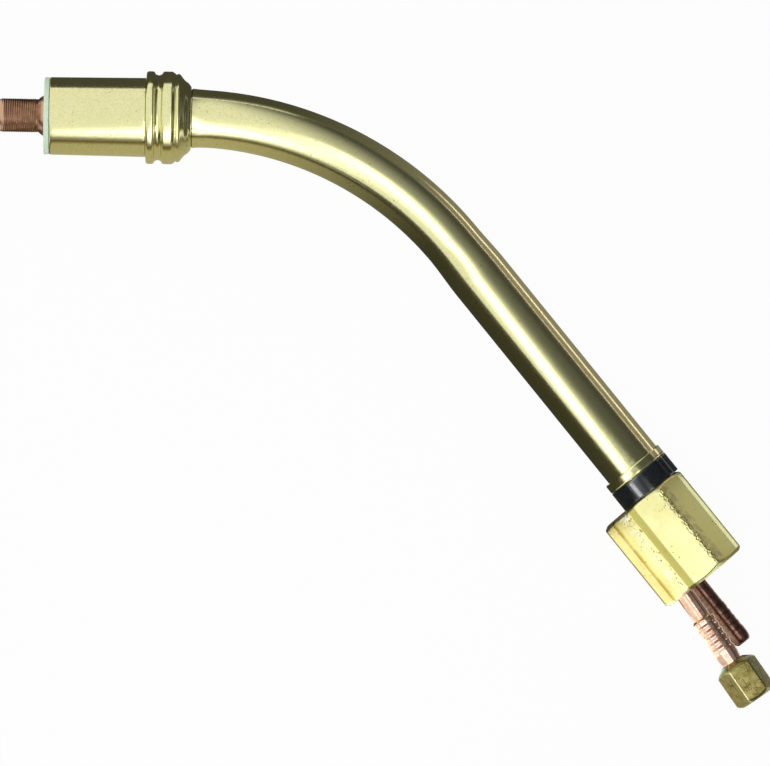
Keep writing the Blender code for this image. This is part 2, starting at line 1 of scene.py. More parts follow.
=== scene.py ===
"""Looks of the bent neck of a water-cooled MIG welding torch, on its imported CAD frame. Metres, +Z up.

A station is a distance along the neck. On front pieces it counts from the start of the bend (negative
towards the tip), on rear pieces from the end of the bend, and on a hose nipple from the block's rear face.
On the jacket tube and on the cards it counts from the start of the bend, along the bend and on behind it.
"""

import math

import bpy
import numpy as np
from mathutils import Matrix, Vector, noise


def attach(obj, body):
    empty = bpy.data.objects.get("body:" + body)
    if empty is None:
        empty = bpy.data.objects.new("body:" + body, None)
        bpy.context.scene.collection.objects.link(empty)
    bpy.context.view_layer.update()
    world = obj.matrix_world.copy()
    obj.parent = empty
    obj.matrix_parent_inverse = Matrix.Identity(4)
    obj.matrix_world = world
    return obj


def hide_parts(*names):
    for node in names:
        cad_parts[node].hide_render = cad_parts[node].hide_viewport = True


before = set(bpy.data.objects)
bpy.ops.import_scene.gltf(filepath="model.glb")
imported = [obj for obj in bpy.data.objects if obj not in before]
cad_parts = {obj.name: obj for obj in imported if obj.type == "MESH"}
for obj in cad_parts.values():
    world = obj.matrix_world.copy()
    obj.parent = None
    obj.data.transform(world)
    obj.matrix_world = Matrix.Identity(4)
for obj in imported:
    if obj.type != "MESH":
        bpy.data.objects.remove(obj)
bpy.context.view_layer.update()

START = Vector((-0.153866, 0.129708, 0.015))
BEND = math.radians(50)
BEND_RADIUS = 0.110
BEND_LENGTH = BEND_RADIUS * BEND
BEND_END = Vector((BEND_RADIUS * math.sin(BEND), -BEND_RADIUS * (1 - math.cos(BEND)), 0))
BLOCK_START = 0.0981
BLOCK_LENGTH = 0.0318
BLOCK_END = BLOCK_START + BLOCK_LENGTH
BLOCK_OFFSET = 0.0048

# Places of turned pieces: their axis is local Z, and local X points down
LIE_DOWN = Matrix.Rotation(math.pi / 2, 4, "Y")
FRONT = Matrix.Translation(START) @ LIE_DOWN
REAR = Matrix.Translation(START + BEND_END) @ Matrix.Rotation(-BEND, 4, "Z") @ LIE_DOWN


def nipple_frame(across, up, lean):
    root = Matrix.Translation((-up, across - BLOCK_OFFSET, BLOCK_END))
    return REAR @ root @ Matrix.Rotation(math.radians(lean), 4, "X")


POWER = nipple_frame(across=-0.0080, up=0.0050, lean=4.2)
SUPPLY = nipple_frame(across=-0.0030, up=-0.0055, lean=0)


# ---------------------------------------------------------------- meshes


def add_mesh(name, points, faces, uvs, body, node, sharp):
    mesh = bpy.data.meshes.new(name)
    mesh.from_pydata([tuple(p) for p in points], [], faces)
    layer = mesh.uv_layers.new(name="UVMap")
    layer.data.foreach_set("uv", np.asarray(uvs, np.float32).ravel())
    mesh.shade_smooth()
    mesh.set_sharp_from_angle(angle=math.radians(sharp))
    piece = bpy.data.objects.new(name, mesh)
    bpy.context.scene.collection.objects.link(piece)
    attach(piece, body)
    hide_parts(node)
    return piece


def turn_angles(count):
    return np.linspace(0, 2 * math.pi, count, endpoint=False)


def rings(angle, station, radius):
    """Local points [turn, along, xyz] of rings at the stations. Their radius may vary round the turn."""
    grid = np.zeros((len(angle), len(station), 3))
    grid[..., 0] = np.cos(angle)[:, None] * radius
    grid[..., 1] = np.sin(angle)[:, None] * radius
    grid[..., 2] = station
    return grid


def shell(name, grid, place, body, node, sharp=40, girth=None, run=None):
    """A closed surface from a grid [turn, along, xyz].

    Its UV is the place round the girth and the run along the outline, both as lengths.
    """
    turns, along = grid.shape[:2]
    matrix = np.array(place)
    world = grid.reshape(-1, 3) @ matrix[:3, :3].T + matrix[:3, 3]
    if run is None:
        step = np.linalg.norm(np.diff(grid[0], axis=0, append=grid[0][:1]), axis=1)
        run = np.concatenate([[0], np.cumsum(step)])
    girth = girth or 2 * math.pi * np.median(np.hypot(grid[..., 0], grid[..., 1]))
    faces = []
    uvs = []
    for i in range(turns):
        j = (i + 1) % turns
        a = i / turns * girth
        b = (i + 1) / turns * girth
        for k in range(along):
            m = (k + 1) % along
            faces.append((i * along + k, j * along + k, j * along + m, i * along + m))
            uvs += [(a, run[k]), (b, run[k]), (b, run[k + 1]), (a, run[k + 1])]
    return add_mesh(name, world, faces, uvs, body, node, sharp)


def soften(outline, radius, steps=3):
    """Rounds the corners of a closed outline of (station, radius) points."""
    points = [Vector(p) for p in outline]
    result = []
    for i, corner in enumerate(points):
        before = points[i - 1] - corner
        after = points[(i + 1) % len(points)] - corner
        reach = min(radius, before.length * 0.45, after.length * 0.45)
        if reach < 1e-6 or before.angle(after) > math.radians(165):
            result.append(corner)
            continue
        a = corner + before.normalized() * reach
        b = corner + after.normalized() * reach
        for k in range(steps + 1):
            t = k / steps
            result.append((1 - t) ** 2 * a + 2 * t * (1 - t) * corner + t * t * b)
    return result


def fill(outline, spacing):
    """Adds points along a closed outline, so that smooth normals stay true on its straight stretches."""
    filled = []
    for p, q in zip(outline, [*outline[1:], outline[0]]):
        count = max(1, int((q - p).length / spacing))
        filled += [p + (q - p) * k / count for k in range(count)]
    return filled


def lathe(name, outer, bore, place, body, node, turns=96, edge=0.00015, spacing=None, shift=0, above=0):
    """A turned piece from outlines of (station, radius): outside front to rear, and bore rear to front.

    Its corners are rounded by edge. What is wider than the radius above moves aside by shift. The closed
    outline crosses itself inside the wall, which leaves a V-shaped groove in place of each end face.
    """
    outline = soften([*reversed(outer), *bore], edge)
    if spacing:
        outline = fill(outline, spacing)
    station, radius = np.array(outline).T
    grid = rings(turn_angles(turns), station, radius)
    grid[..., 1] += np.where(radius > above, shift, 0)
    return shell(name, grid[:, ::-1], place, body, node)


# ---------------------------------------------------------------- materials


class Paint:
    """Builds one procedural material, node by node."""

    def __init__(self, name, colour, roughness, metallic):
        self.material = bpy.data.materials.new(name)
        self.material.use_nodes = True
        self.tree = self.material.node_tree
        self.shader = self.tree.nodes["Principled BSDF"]
        self.surface = self.tree.nodes["Material Output"].inputs["Surface"]
        self.set(self.shader, "Base Color", (*colour, 1))
        self.set(self.shader, "Roughness", roughness)
        self.set(self.shader, "Metallic", metallic)
        self.where = self.tree.nodes.new("ShaderNodeTexCoord")

    def set(self, node, name, value):
        node.inputs[name].default_value = value

    def link(self, out, node, name):
        self.tree.links.new(out, node.inputs[name])

    def new(self, kind, **values):
        node = self.tree.nodes.new("ShaderNode" + kind)
        for key, value in values.items():
            setattr(node, key, value)
        return node

    def space(self, scale=(1, 1, 1), uv=False):
        mapping = self.new("Mapping")
        self.set(mapping, "Scale", scale)
        self.link(self.where.outputs["UV" if uv else "Object"], mapping, "Vector")
        return mapping.outputs["Vector"]

    def noise(self, scale, detail=3, rough=0.5, distortion=0, at=None):
        node = self.new("TexNoise")
        self.set(node, "Scale", scale)
        self.set(node, "Detail", detail)
        self.set(node, "Roughness", rough)
        self.set(node, "Distortion", distortion)
        self.link(at or self.space(), node, "Vector")
        return node.outputs["Fac"]

    def grain(self, scale, detail, rough=0.5):
        """Noise in the piece's UV, drawn out by unlike scales round and along it."""
        return self.noise(1, detail, rough, at=self.space((*scale, 1), uv=True))

    def cells(self, scale, feature="F1"):
        node = self.new("TexVoronoi", feature=feature)
        self.set(node, "Scale", scale)
        self.link(self.space(), node, "Vector")
        return node.outputs["Distance"]

    def band(self, value, low, high, to_low=0, to_high=1):
        """A smooth step. With low above high it falls."""
        node = self.new("MapRange", interpolation_type="SMOOTHSTEP")
        self.link(value, node, "Value")
        self.set(node, "From Min", low)
        self.set(node, "From Max", high)
        self.set(node, "To Min", to_low)
        self.set(node, "To Max", to_high)
        return node.outputs["Result"]

    def zone(self, value, start, full, fade, end):
        """Rises to 1 from start to full and falls back to 0 from fade to end."""
        return self.times(self.band(value, start, full), self.band(value, end, fade))

    def window(self, value, low, high, soft):
        """A zone from low to high whose two edges are twice soft wide."""
        return self.zone(value, low - soft, low + soft, high - soft, high + soft)

    def axes(self, uv=False):
        node = self.new("SeparateXYZ")
        self.link(self.where.outputs["UV" if uv else "Object"], node, "Vector")
        return node.outputs["X"], node.outputs["Y"], node.outputs["Z"]

    def math(self, operation, a, b=None):
        node = self.new("Math", operation=operation)
        for index, value in enumerate((a, b)):
            if isinstance(value, (int, float)):
                self.set(node, index, value)
            elif value is not None:
                self.link(value, node, index)
        return node.outputs[0]

    def add(self, *values):
        result = values[0]
        for value in values[1:]:
            result = self.math("ADD", result, value)
        return result

    def times(self, *values):
        result = values[0]
        for value in values[1:]:
            result = self.math("MULTIPLY", result, value)
        return result

    def opposite(self, value):
        return self.math("SUBTRACT", 1, value)

    def distance(self, value, middle):
        return self.math("ABSOLUTE", self.math("SUBTRACT", value, middle))

    def either(self, a, b):
        return self.math("MAXIMUM", a, b)

    def mix(self, factor, a, b):
        node = self.new("Mix", data_type="RGBA")
        self.link(factor, node, 0)
        for index, value in ((6, a), (7, b)):
            if isinstance(value, tuple):
                self.set(node, index, (*value, 1))
            else:
                self.link(value, node, index)
        return node.outputs[2]

    def colour(self, value):
        self.link(value, self.shader, "Base Color")

    def rough(self, value):
        self.link(value, self.shader, "Roughness")

    def bump(self, height, depth, normal=None):
        node = self.new("Bump")
        self.set(node, "Strength", 1)
        self.set(node, "Distance", depth)
        self.link(height, node, "Height")
        if normal:
            self.link(normal, node, "Normal")
        self.link(node.outputs["Normal"], self.shader, "Normal")
        return node.outputs["Normal"]

    def mix_shaders(self, factor, a, b):
        mixer = self.new("MixShader")
        self.link(factor, mixer, 0)
        self.link(a.outputs[0], mixer, 1)
        self.link(b.outputs[0], mixer, 2)
        self.tree.links.new(mixer.outputs[0], self.surface)


def polished_brass(name, turned=False):
    """Bright brass with a fine mottle and a few dull spots, and with lathe marks if turned."""
    paint = Paint(name, (0.87, 0.85, 0.45), 0.16, 1)
    cloud = paint.noise(420, detail=4, rough=0.6)
    speck = paint.noise(1700, detail=2, rough=0.6)
    spots = paint.band(paint.cells(620), 0.27, 0.13)
    spots = paint.times(spots, paint.band(paint.noise(130, detail=2), 0.52, 0.66), 0.6)
    speckled = paint.times(paint.band(speck, 0.45, 0.75), 0.9)
    tone = paint.mix(paint.band(cloud, 0.35, 0.7), (0.88, 0.865, 0.46), (0.845, 0.825, 0.43))
    tone = paint.mix(speckled, tone, (0.77, 0.74, 0.36))
    paint.colour(paint.mix(spots, tone, (0.40, 0.36, 0.17)))
    paint.rough(paint.band(speck, 0.3, 0.75, 0.12, 0.21))
    normal = paint.bump(cloud, 0.0000025)
    normal = paint.bump(speck, 0.0000025, normal)
    if turned:
        paint.bump(paint.grain((40, 9000), detail=1), 0.000004, normal)
    return paint.material


# Zones round the block, as UV X: where each starts, is full, fades and ends
# The warm facet below is painted light: a golden tint for warm light from the right
PAINTED_WARM_LIGHT_FACET = (0.0326, 0.0334, 0.0416, 0.0422)
DULL_CORNER = (0.0380, 0.0389, 0.0416, 0.0432)
OLIVE_STRIP = (0.0514, 0.0519, 0.0538, 0.0544)
DENTED_RIDGE = (0.0539, 0.0543, 0.0555, 0.0563)
SCUFFED_STRIP = (0.0544, 0.0552, 0.0583, 0.0589)
DARK_SEAM = (0.0604, 0.0620, 0.0622, 0.0626)


def block_wear_and_painted_light(paint, tone, cloud, pits):
    """The tones of the block's strips and rubbed corners, a warm tint painted on its right facet as painted
    light, and the extra pits in them.
    """
    round_bar = paint.axes(uv=True)[0]
    scuffed = paint.zone(round_bar, *SCUFFED_STRIP)
    patches = paint.band(paint.noise(420, detail=3, rough=0.6), 0.38, 0.55)
    seam = paint.times(paint.zone(round_bar, *DARK_SEAM), paint.band(cloud, 0.1, 0.6))
    stain = paint.band(paint.noise(600, detail=4, rough=0.65), 0.4, 0.62)
    dull = paint.times(paint.zone(round_bar, *DULL_CORNER), stain, 0.6)
    for share, strip_tone in (
        (paint.times(scuffed, patches, 0.8), (0.97, 0.96, 0.78)),
        (seam, (0.50, 0.36, 0.08)),
        # painted light: a warm golden tint on the right facet, standing in for warm light from that side
        (paint.zone(round_bar, *PAINTED_WARM_LIGHT_FACET), (0.96, 0.88, 0.34)),
        (paint.zone(round_bar, *OLIVE_STRIP), (0.39, 0.355, 0.10)),
        (dull, (0.48, 0.40, 0.20)),
    ):
        tone = paint.mix(share, tone, strip_tone)
    scuff_pits = paint.times(pits, scuffed, paint.band(paint.noise(300, detail=2), 0.48, 0.58))
    dents = paint.times(paint.band(paint.cells(850), 0.40, 0.22), paint.zone(round_bar, *DENTED_RIDGE))
    dents = paint.times(dents, paint.band(paint.noise(260, detail=3, rough=0.6), 0.44, 0.54))
    return tone, paint.either(scuff_pits, dents)


def drawn_brass(name, with_wear_and_painted_light):
    """Drawn brass bar with sparse pits. The block's also has wear along its corners, and a warm tint
    painted on one facet as painted light.
    """
    paint = Paint(name, (0.90, 0.86, 0.44), 0.34, 1)
    drawn = paint.grain((5200, 90), detail=3, rough=0.6)
    cloud = paint.noise(170, detail=4, rough=0.6)
    tone = paint.mix(paint.band(cloud, 0.3, 0.72), (0.93, 0.92, 0.46), (0.87, 0.82, 0.37))
    pits = paint.band(paint.cells(1100), 0.3, 0.08)
    sparse = paint.times(pits, paint.band(paint.noise(160, detail=2), 0.54, 0.66))
    if with_wear_and_painted_light:
        tone, worn_pits = block_wear_and_painted_light(paint, tone, cloud, pits)
        sparse = paint.either(sparse, worn_pits)
    paint.colour(paint.mix(paint.times(sparse, 0.85), tone, (0.28, 0.20, 0.08)))
    paint.rough(paint.band(drawn, 0.25, 0.75, 0.28, 0.40))
    normal = paint.bump(drawn, 0.000004)
    normal = paint.bump(cloud, 0.00002, normal)
    paint.bump(sparse, -0.00006, normal)
    return paint.material


NUT_EDGE_HIGHLIGHT = (0.02014, 0.02024, 0.02048, 0.02058)


def scratched_brass():
    """The nut's dull brass, with scratches, and a pale stripe painted along one corner as a highlight."""
    paint = Paint("nut_brass", (0.40, 0.36, 0.15), 0.3, 1)
    cloud = paint.noise(420, detail=4, rough=0.6)
    waves = paint.noise(330, detail=2, distortion=0.8)
    vein = paint.band(paint.distance(waves, 0.5), 0.014, 0)
    crease = paint.band(paint.cells(230, feature="DISTANCE_TO_EDGE"), 0.035, 0.005)
    patch = paint.band(paint.noise(260, detail=1), 0.42, 0.52)
    scratch = paint.times(paint.either(vein, crease), patch)
    # painted highlight: a pale stripe along the corner between the left and middle flats
    edge_highlight = paint.times(paint.zone(paint.axes(uv=True)[0], *NUT_EDGE_HIGHLIGHT), 0.6)
    tone = paint.mix(paint.band(cloud, 0.3, 0.7), (0.33, 0.288, 0.113), (0.232, 0.194, 0.054))
    tone = paint.mix(paint.times(scratch, 0.8), tone, (0.12, 0.10, 0.03))
    paint.colour(paint.mix(edge_highlight, tone, (0.90, 0.88, 0.55)))
    paint.rough(paint.band(cloud, 0.3, 0.7, 0.22, 0.36))
    normal = paint.bump(cloud, 0.000015)
    paint.bump(scratch, -0.00002, normal)
    return paint.material


def copper(name, pale, dark, rough, turned=True, bare_ends=None):
    """Tarnished copper. Before the first and past the second X of bare_ends it is bare and bright."""
    paint = Paint(name, pale, rough, 1)
    cloud = paint.noise(500, detail=4, rough=0.6)
    marks = paint.grain((30, 5200), detail=2)
    stain = paint.band(paint.add(paint.times(cloud, 0.6), paint.times(marks, 0.4)), 0.38, 0.66)
    tone = paint.mix(stain, pale, dark)
    if bare_ends:
        x = paint.axes()[0]
        fade = 0.0007
        front, rear = bare_ends
        bare = paint.either(paint.band(x, front, front - fade), paint.band(x, rear, rear + fade))
        tone = paint.mix(bare, tone, (0.66, 0.42, 0.27))
    paint.colour(tone)
    paint.rough(paint.band(cloud, 0.3, 0.7, rough - 0.05, rough + 0.08))
    normal = paint.bump(cloud, 0.00001)
    if turned:
        paint.bump(marks, 0.000005, normal)
    return paint.material


def glass_epoxy():
    """Pale green glass-fibre laminate, whose layers show as fine lines."""
    paint = Paint("glass_epoxy", (0.68, 0.86, 0.66), 0.5, 0)
    weave = paint.grain((1200, 6000), detail=2)
    cloud = paint.noise(500)
    tone = paint.mix(paint.band(weave, 0.35, 0.65), (0.80, 0.97, 0.76), (0.67, 0.86, 0.64))
    paint.colour(paint.mix(paint.band(cloud, 0.5, 0.75), tone, (0.78, 0.92, 0.74)))
    paint.rough(paint.band(weave, 0.3, 0.7, 0.42, 0.6))
    paint.bump(weave, 0.00001)
    paint.set(paint.shader, "Subsurface Weight", 0.15)
    paint.set(paint.shader, "Subsurface Radius", (0.001, 0.001, 0.001))
    return paint.material


def black_plastic():
    paint = Paint("black_plastic", (0.008, 0.011, 0.014), 0.1, 0)
    cloud = paint.noise(700)
    paint.colour(paint.mix(paint.band(cloud, 0.4, 0.7), (0.006, 0.009, 0.012), (0.013, 0.018, 0.022)))
    paint.rough(paint.band(paint.noise(1500, detail=2), 0.3, 0.7, 0.08, 0.16))
    paint.bump(cloud, 0.000003)
    paint.set(paint.shader, "IOR", 1.6)
    paint.set(paint.shader, "Coat Weight", 1)
    paint.set(paint.shader, "Coat Roughness", 0.05)
    return paint.material


def plain(name, colour, rough):
    """A matt surface with a faint cloud, for inner pieces."""
    paint = Paint(name, colour, rough, 0)
    cloud = paint.noise(400)
    dim = tuple(c * 0.8 for c in colour)
    paint.colour(paint.mix(paint.band(cloud, 0.35, 0.7), colour, dim))
    paint.rough(paint.band(cloud, 0.3, 0.7, rough - 0.05, rough + 0.08))
    paint.bump(cloud, 0.00001)
    return paint.material


def dress(piece, material):
    piece.data.materials.clear()
    piece.data.materials.append(material)
    return piece


BRASS = polished_brass("polished_brass")
TURNED_BRASS = polished_brass("turned_brass", turned=True)
BLOCK_BRASS = drawn_brass("block_brass", with_wear_and_painted_light=True)
GUIDE_BRASS = drawn_brass("guide_brass", with_wear_and_painted_light=False)
NUT_BRASS = scratched_brass()
COPPER = copper("copper", (0.95, 0.66, 0.53), (0.66, 0.37, 0.25), 0.18)
# painted shade: a much darker copy of the copper for the lower nipple, standing in for the shade it lies in
SHADED_COPPER = copper("copper_painted_shade", (0.26, 0.14, 0.10), (0.10, 0.055, 0.04), 0.24)
TUBE_COPPER = copper("tube_copper", (0.72, 0.38, 0.27), (0.55, 0.27, 0.19), 0.35, turned=False)
STUB_BARE_ENDS = (-0.2125, -0.2015)
STUB_COPPER = copper(
    "stub_copper", (0.40, 0.21, 0.125), (0.25, 0.125, 0.075), 0.3, turned=False, bare_ends=STUB_BARE_ENDS
)
EPOXY = glass_epoxy()
PLASTIC = black_plastic()
SLEEVE_PLASTIC = plain("sleeve_plastic", (0.85, 0.85, 0.80), 0.5)
RUBBER = plain("seal_rubber", (0.02, 0.02, 0.02), 0.6)

# ---------------------------------------------------------------- front end

STUB_START = -0.0612
STUB_END = -0.0483
STUB_RADIUS = 0.0053
CONE_END = -0.0470
RIM_END = -0.0465
SHANK_END = -0.0358
SHANK_RADIUS = 0.00555
CORE_SEAT = -0.0398
CORE_SEAT_RADIUS = 0.0037
WIRE_WAY_START = -0.0502
WIRE_WAY_RADIUS = 0.0027
TIP_BORE_RADIUS = 0.0032
THREAD_PITCH = 0.0007
THREAD_DEPTH = 0.00014


def make_stub():
    """The tip adapter, with a helical thread on its stub."""
    angle = turn_angles(120)
    thread = np.arange(STUB_START + 0.00035, STUB_END, 0.00005)
    phase = (thread / THREAD_PITCH + angle[:, None] / (2 * math.pi)) % 1
    groove = np.clip(1 - np.abs(phase - 0.5) / 0.4, 0, 1)
    nose = np.clip((thread - STUB_START) / 0.0019, 0, 1)
    tail = np.clip((STUB_END - 0.0003 - thread) / 0.0006, 0, 1)
    fade = np.clip((thread - STUB_START - 0.0012) / 0.0012, 0, 1) * tail
    radius = STUB_RADIUS - 0.00062 * (1 - nose) ** 1.3 - THREAD_DEPTH * groove * fade - 0.00012 * (1 - tail)
    rest = [
        (STUB_END, 0.00515), (CONE_END, 0.0062), (RIM_END, 0.0063), (RIM_END, SHANK_RADIUS),
        (SHANK_END, SHANK_RADIUS), (SHANK_END, CORE_SEAT_RADIUS), (CORE_SEAT, CORE_SEAT_RADIUS),
        (CORE_SEAT, WIRE_WAY_RADIUS), (WIRE_WAY_START, WIRE_WAY_RADIUS), (WIRE_WAY_START, TIP_BORE_RADIUS),
        (STUB_START + 0.0004, TIP_BORE_RADIUS), (STUB_START, 0.0036), (STUB_START, 0.00435),
        (STUB_START + 0.00015, 0.00455),
    ]
    grid = np.concatenate([rings(angle, thread, radius), rings(angle, *np.array(rest).T)], axis=1)
    return shell("threaded_stub", grid, FRONT, "neck", "tip_adapter", sharp=50)


dress(make_stub(), STUB_COPPER)

FLANGE_FRONT = -0.0464
FLANGE_REAR = -0.0447
FLANGE_RADIUS = 0.01215
FLANGE_BORE = 0.00585
SEAL_SEAT = -0.0439
SPIGOT_END = -0.0332
SPIGOT_RADIUS = 0.0107
SPIGOT_BORE = 0.00695
dress(
    lathe(
        "insulator_flange",
        [
            (FLANGE_FRONT, FLANGE_RADIUS - 0.00025), (FLANGE_FRONT + 0.0003, FLANGE_RADIUS),
            (FLANGE_REAR, FLANGE_RADIUS), (FLANGE_REAR, SPIGOT_RADIUS), (SPIGOT_END, SPIGOT_RADIUS),
        ],
        [
            (SPIGOT_END, SPIGOT_BORE), (SEAL_SEAT, SPIGOT_BORE), (SEAL_SEAT, FLANGE_BORE),
            (FLANGE_FRONT, FLANGE_BORE),
        ],
        FRONT, "neck", "front_insulator", edge=0.00025,
    ),
    EPOXY,
)

SEAT_START = -0.0446
SEAT_END = -0.01436
SEAT_SPIGOT_END = -0.0099
SEAT_SPIGOT_RADIUS = 0.0119
SEAT_BORE = 0.0110
dress(
    lathe(
        "nozzle_sleeve",
        [
            (SEAT_START, 0.01195), (SEAT_START + 0.0003, 0.0122), (SEAT_END, 0.01245),
            (SEAT_END, SEAT_SPIGOT_RADIUS), (SEAT_SPIGOT_END, SEAT_SPIGOT_RADIUS),
        ],
        [(SEAT_SPIGOT_END, SEAT_BORE), (SEAT_START, SEAT_BORE)],
        FRONT, "neck", "nozzle_seat", turns=128, edge=0.0001, spacing=0.001,
    ),
    BRASS,
)

RIB_RADIUS = 0.0146
COLLAR_FRONT = -0.0143
COLLAR_BORES = [
    (0, 0.0092), (-0.007, 0.0092), (-0.007, 0.00805), (-0.0096, 0.00805), (-0.0096, 0.01205),
    (COLLAR_FRONT, 0.01205),
]
COLLAR = [
    (COLLAR_FRONT, 0.0136), (-0.01415, 0.0143), (-0.0137, RIB_RADIUS), (-0.0121, RIB_RADIUS),
    (-0.01165, 0.0142), (-0.0115, 0.0137), (-0.01045, 0.0133), (-0.0094, 0.0137),
    (-0.0092, 0.0142), (-0.0088, RIB_RADIUS), (-0.0061, RIB_RADIUS), (-0.0057, 0.0143),
    (-0.0053, 0.0141), (-0.0050, 0.0137), (-0.0047, 0.0137), (-0.0045, 0.0139),
    (-0.0039, 0.0139), (-0.0035, 0.0135), (-0.0027, 0.01245), (-0.0021, 0.01175),
    (-0.0014, 0.0113), (-0.0009, 0.0109), (-0.0004, 0.0102), (0, 0.0096),
]
dress(
    lathe(
        "ribbed_collar", COLLAR, COLLAR_BORES, FRONT, "neck", "rib_collar",
        turns=128, edge=0.00035, spacing=0.0004,
    ),
    TURNED_BRASS,
)

# ---------------------------------------------------------------- bent tube

TUBE_START = -0.0067
TUBE_END = 0.0911
TUBE_OUTER = 0.00905
TUBE_INNER = 0.00805
TUBE_GIRTH = 0.0585
NECK_SWELL = 0.00045
COLLAR_FLARE = 0.00035


def neck_point(station):
    """The axis at a station, from the start of the bend, and how far the neck has turned there."""
    if station <= 0:
        return Vector((station, 0, 0)), 0
    if station <= BEND_LENGTH:
        turn = station / BEND_RADIUS
        return Vector((BEND_RADIUS * math.sin(turn), -BEND_RADIUS * (1 - math.cos(turn)), 0)), turn
    tail = Vector((math.cos(BEND), -math.sin(BEND), 0))
    return BEND_END + tail * (station - BEND_LENGTH), BEND


def tube_stations():
    """Dense at the collar's flare, along the bend and where the tube grows, and sparse behind it."""
    end = BEND_LENGTH + TUBE_END
    flare = np.arange(0.0003, 0.006, 0.0006)
    bend = np.arange(0.006, BEND_LENGTH, 0.001)
    swell = np.arange(BEND_LENGTH, BEND_LENGTH + 0.016, 0.0005)
    tail = np.arange(BEND_LENGTH + 0.016, end, 0.003)
    return [TUBE_START, -0.0003, 0, *flare, *bend, *swell, *tail, end]


def tube_growth(station):
    """How much wider the tube is at a station than at its front end."""
    t = min(1, max(0, (station - BEND_LENGTH + 0.002) / 0.014))
    growth = NECK_SWELL * t * t * (3 - 2 * t)
    if station > 0:
        growth += COLLAR_FLARE * math.exp(-station / 0.0026)
    return growth


def make_tube():
    """The jacket tube: a fine sweep along the bend, necked a little larger just after it."""
    angle = turn_angles(128)
    stations = tube_stations()
    outer = []
    inner = []
    for station in stations:
        centre, turn = neck_point(station)
        side = np.array((math.sin(turn), math.cos(turn), 0))
        ring = np.outer(np.sin(angle), side) + np.outer(np.cos(angle), (0, 0, -1))
        middle = np.array(START + centre)
        growth = tube_growth(station)
        outer.append(middle + ring * (TUBE_OUTER + growth))
        inner.append(middle + ring * (TUBE_INNER + growth))
    grid = np.stack([*outer, *reversed(inner)], axis=1)
    run = [*stations, *reversed(stations), stations[0]]
    here = Matrix.Identity(4)
    return shell("bent_jacket", grid, here, "neck", "jacket_tube", girth=TUBE_GIRTH, run=run)


dress(make_tube(), BRASS)

# ---------------------------------------------------------------- rings behind the tube

RING_SHIFT = -0.00035
RING_SHIFT_ABOVE = 0.0101999
INSULATOR_SHIFT_ABOVE = 0.0095
RING_START = 0.088
RING_RADIUS = 0.0105
RING_BORE = 0.00952
INSULATOR_START = 0.0834
INSULATOR_SPIGOT = 0.0082
INSULATOR_FRONT = 0.09115
INSULATOR_END = 0.09805
INSULATOR_BORE = 0.00695
dress(
    lathe(
        "tail_ring",
        [
            (RING_START, RING_RADIUS - 0.0003), (RING_START + 0.0003, RING_RADIUS),
            (TUBE_END - 0.0003, RING_RADIUS), (TUBE_END, RING_RADIUS - 0.0003),
        ],
        [(TUBE_END, RING_BORE), (RING_START, RING_BORE)],
        REAR, "neck", "tail_ferrule", turns=128, edge=0.0002, spacing=0.0003,
        shift=RING_SHIFT, above=RING_SHIFT_ABOVE,
    ),
    TURNED_BRASS,
)
dress(
    lathe(
        "black_insulator",
        [
            (INSULATOR_START, INSULATOR_SPIGOT), (INSULATOR_FRONT, INSULATOR_SPIGOT),
            (INSULATOR_FRONT, 0.0104), (INSULATOR_FRONT + 0.00015, 0.0106),
            (INSULATOR_END - 0.00015, 0.0106), (INSULATOR_END, 0.0104),
        ],
        [(INSULATOR_END, INSULATOR_BORE), (INSULATOR_START, INSULATOR_BORE)],
        REAR, "neck", "rear_insulator", turns=128, edge=0.0002, spacing=0.0005,
        shift=RING_SHIFT, above=INSULATOR_SHIFT_ABOVE,
    ),
    PLASTIC,
)

# ---------------------------------------------------------------- connector block

BLOCK_FLATS = 0.030
BLOCK_CORNER = 0.0008
BLOCK_GIRTH = 0.096
BLOCK_CHAMFER_SLOPE = math.tan(math.radians(30))
BLOCK_FINE_ROWS = (0.0021, 0.0298)
# Flats that wear has rubbed on the bar: the direction that each faces, in degrees, and its reach
RUBBED_FLATS = (
    (192, 0.01542), (218.7, 0.01515), (122, 0.01557), (104, 0.0156), (237, 0.01517), (256, 0.01552),
)
SCUFFED_ANGLES = (math.radians(204), math.radians(219))
BATTERED_CORNER = 3
SOCKET_RADIUS = 0.0050
SOCKET_END = 0.0218
BLOCK_BORES = [
    (BLOCK_LENGTH, SOCKET_RADIUS + 0.0003), (BLOCK_LENGTH - 0.0003, SOCKET_RADIUS),
    (SOCKET_END, SOCKET_RADIUS), (SOCKET_END, WIRE_WAY_RADIUS), (0.0001, WIRE_WAY_RADIUS), (0, 0.0068),
]


def bar_radius(angle, sides, flats, corner, turn=0):
    """From the middle to the surface of a regular bar with rounded corners. Angle 0 faces a flat."""
    step = 2 * math.pi / sides
    local = (angle - turn + step / 2) % step - step / 2
    half = flats / 2
    reach = half / math.cos(step / 2)
    centre = reach - corner / math.cos(step / 2)
    limit = math.atan2(centre * math.sin(step / 2), half)
    if abs(local) <= limit:
        return half / math.cos(local)
    off = step / 2 - abs(local)
    return centre * math.cos(off) + math.sqrt(max(0, corner**2 - (centre * math.sin(off)) ** 2))


def plane_cut(angle, normal, reach):
    """From the middle to a plane that faces along normal, at reach."""
    facing = math.cos(angle - normal)
    return reach / facing if facing > 0.2 else 1


def bumps(place, floor, depth):
    """Depth of rough spots: smooth noise at a place, as far as it rises above a floor."""
    return max(0, noise.noise(Vector(place)) - floor) * depth


